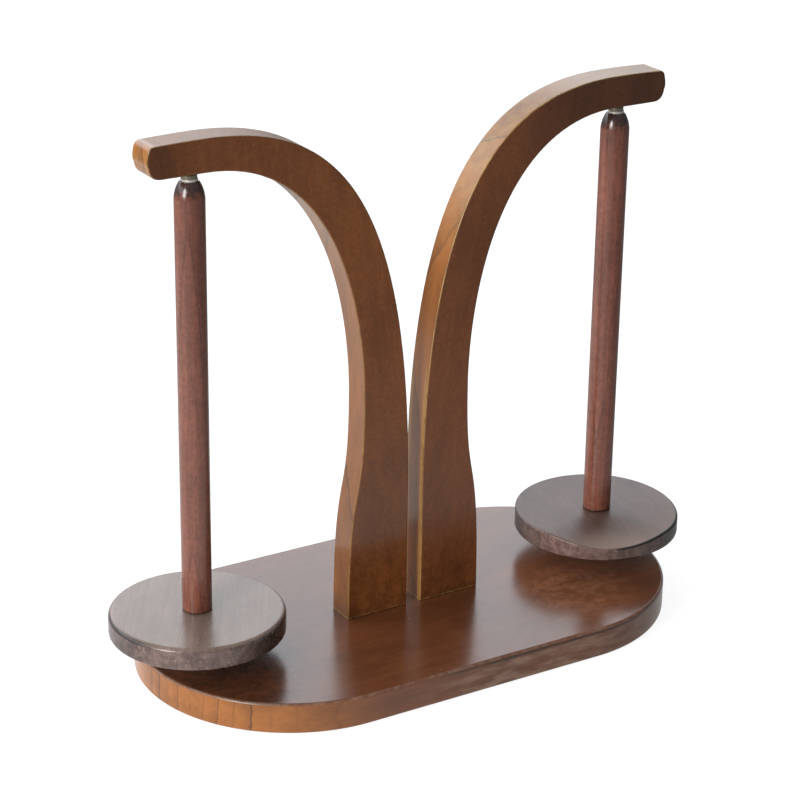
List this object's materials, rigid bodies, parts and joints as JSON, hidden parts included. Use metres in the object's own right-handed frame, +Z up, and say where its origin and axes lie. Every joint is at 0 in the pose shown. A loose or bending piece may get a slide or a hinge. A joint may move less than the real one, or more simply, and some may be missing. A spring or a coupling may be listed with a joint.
{
  "type": "yarn spool holder",
  "caption": "Wooden yarn holder: bent arms rise from a stadium-shaped base, and disc-footed spindles hang from magnets under the arm tips, free to spin and swing.",
  "frame": {"origin": "middle of the base board's underside", "axes": "+X to the right along the base, through both spindles; +Y to the back; +Z up along the spindles"},
  "size_m": [0.3338, 0.162, 0.2855],
  "materials": {
    "board_wood": "brown stained board, satin lacquer",
    "arm_wood": "dark brown stained board, satin lacquer",
    "rod_wood": "reddish brown stained dowel, satin lacquer",
    "disc_wood": "dark brown stained disc, satin lacquer",
    "nickel_cup": "nickel plated steel, polished",
    "magnet_plate": "nickel plated magnet, polished",
    "bearing_steel": "polished bearing steel",
    "screw_steel": "yellow zinc plated steel",
    "ring_nylon": "black nylon, semi-matt"
  },
  "bodies": {
    "holder": {"base_board": "board_wood", "left_arm": "arm_wood", "left_arm_inner_screw": "screw_steel", "left_arm_outer_screw": "screw_steel", "left_arm_magnet_cup": "nickel_cup", "left_arm_magnet": "magnet_plate", "right_arm": "arm_wood", "right_arm_inner_screw": "screw_steel", "right_arm_outer_screw": "screw_steel", "right_arm_magnet_cup": "nickel_cup", "right_arm_magnet": "magnet_plate"},
    "left_ball": {"left_bearing_ball": "bearing_steel"},
    "left_swing_link": {"left_ball_ring": "ring_nylon"},
    "left_hanger": {"left_rod_magnet": "magnet_plate", "left_rod_magnet_cup": "nickel_cup"},
    "left_spindle": {"left_rod": "rod_wood", "left_disc": "disc_wood", "left_disc_screw": "screw_steel"},
    "right_ball": {"right_bearing_ball": "bearing_steel"},
    "right_swing_link": {"right_ball_ring": "ring_nylon"},
    "right_hanger": {"right_rod_magnet": "magnet_plate", "right_rod_magnet_cup": "nickel_cup"},
    "right_spindle": {"right_rod": "rod_wood", "right_disc": "disc_wood", "right_disc_screw": "screw_steel"}
  },
  "joints": [
    {"name": "left_pull_off", "type": "slide", "parent": "holder", "child": "left_ball", "axis": [0, 0, -1], "range_m": [0, 0.008]},
    {"name": "left_swing_side", "type": "hinge", "parent": "left_ball", "child": "left_swing_link", "pos_m": [-0.1224, 0, 0.2673], "axis": [0, 1, 0], "range_deg": [-8, 15]},
    {"name": "left_swing_front", "type": "hinge", "parent": "left_swing_link", "child": "left_hanger", "pos_m": [-0.1224, 0, 0.2673], "axis": [1, 0, 0], "range_deg": [-15, 15]},
    {"name": "left_spin", "type": "hinge", "parent": "left_hanger", "child": "left_spindle", "pos_m": [-0.1224, 0, 0.2673], "axis": [0, 0, 1], "continuous": true},
    {"name": "right_pull_off", "type": "slide", "parent": "holder", "child": "right_ball", "axis": [0, 0, -1], "range_m": [0, 0.008]},
    {"name": "right_swing_side", "type": "hinge", "parent": "right_ball", "child": "right_swing_link", "pos_m": [0.1224, 0, 0.2673], "axis": [0, -1, 0], "range_deg": [-8, 15]},
    {"name": "right_swing_front", "type": "hinge", "parent": "right_swing_link", "child": "right_hanger", "pos_m": [0.1224, 0, 0.2673], "axis": [1, 0, 0], "range_deg": [-15, 15]},
    {"name": "right_spin", "type": "hinge", "parent": "right_hanger", "child": "right_spindle", "pos_m": [0.1224, 0, 0.2673], "axis": [0, 0, 1], "continuous": true}
  ]
}
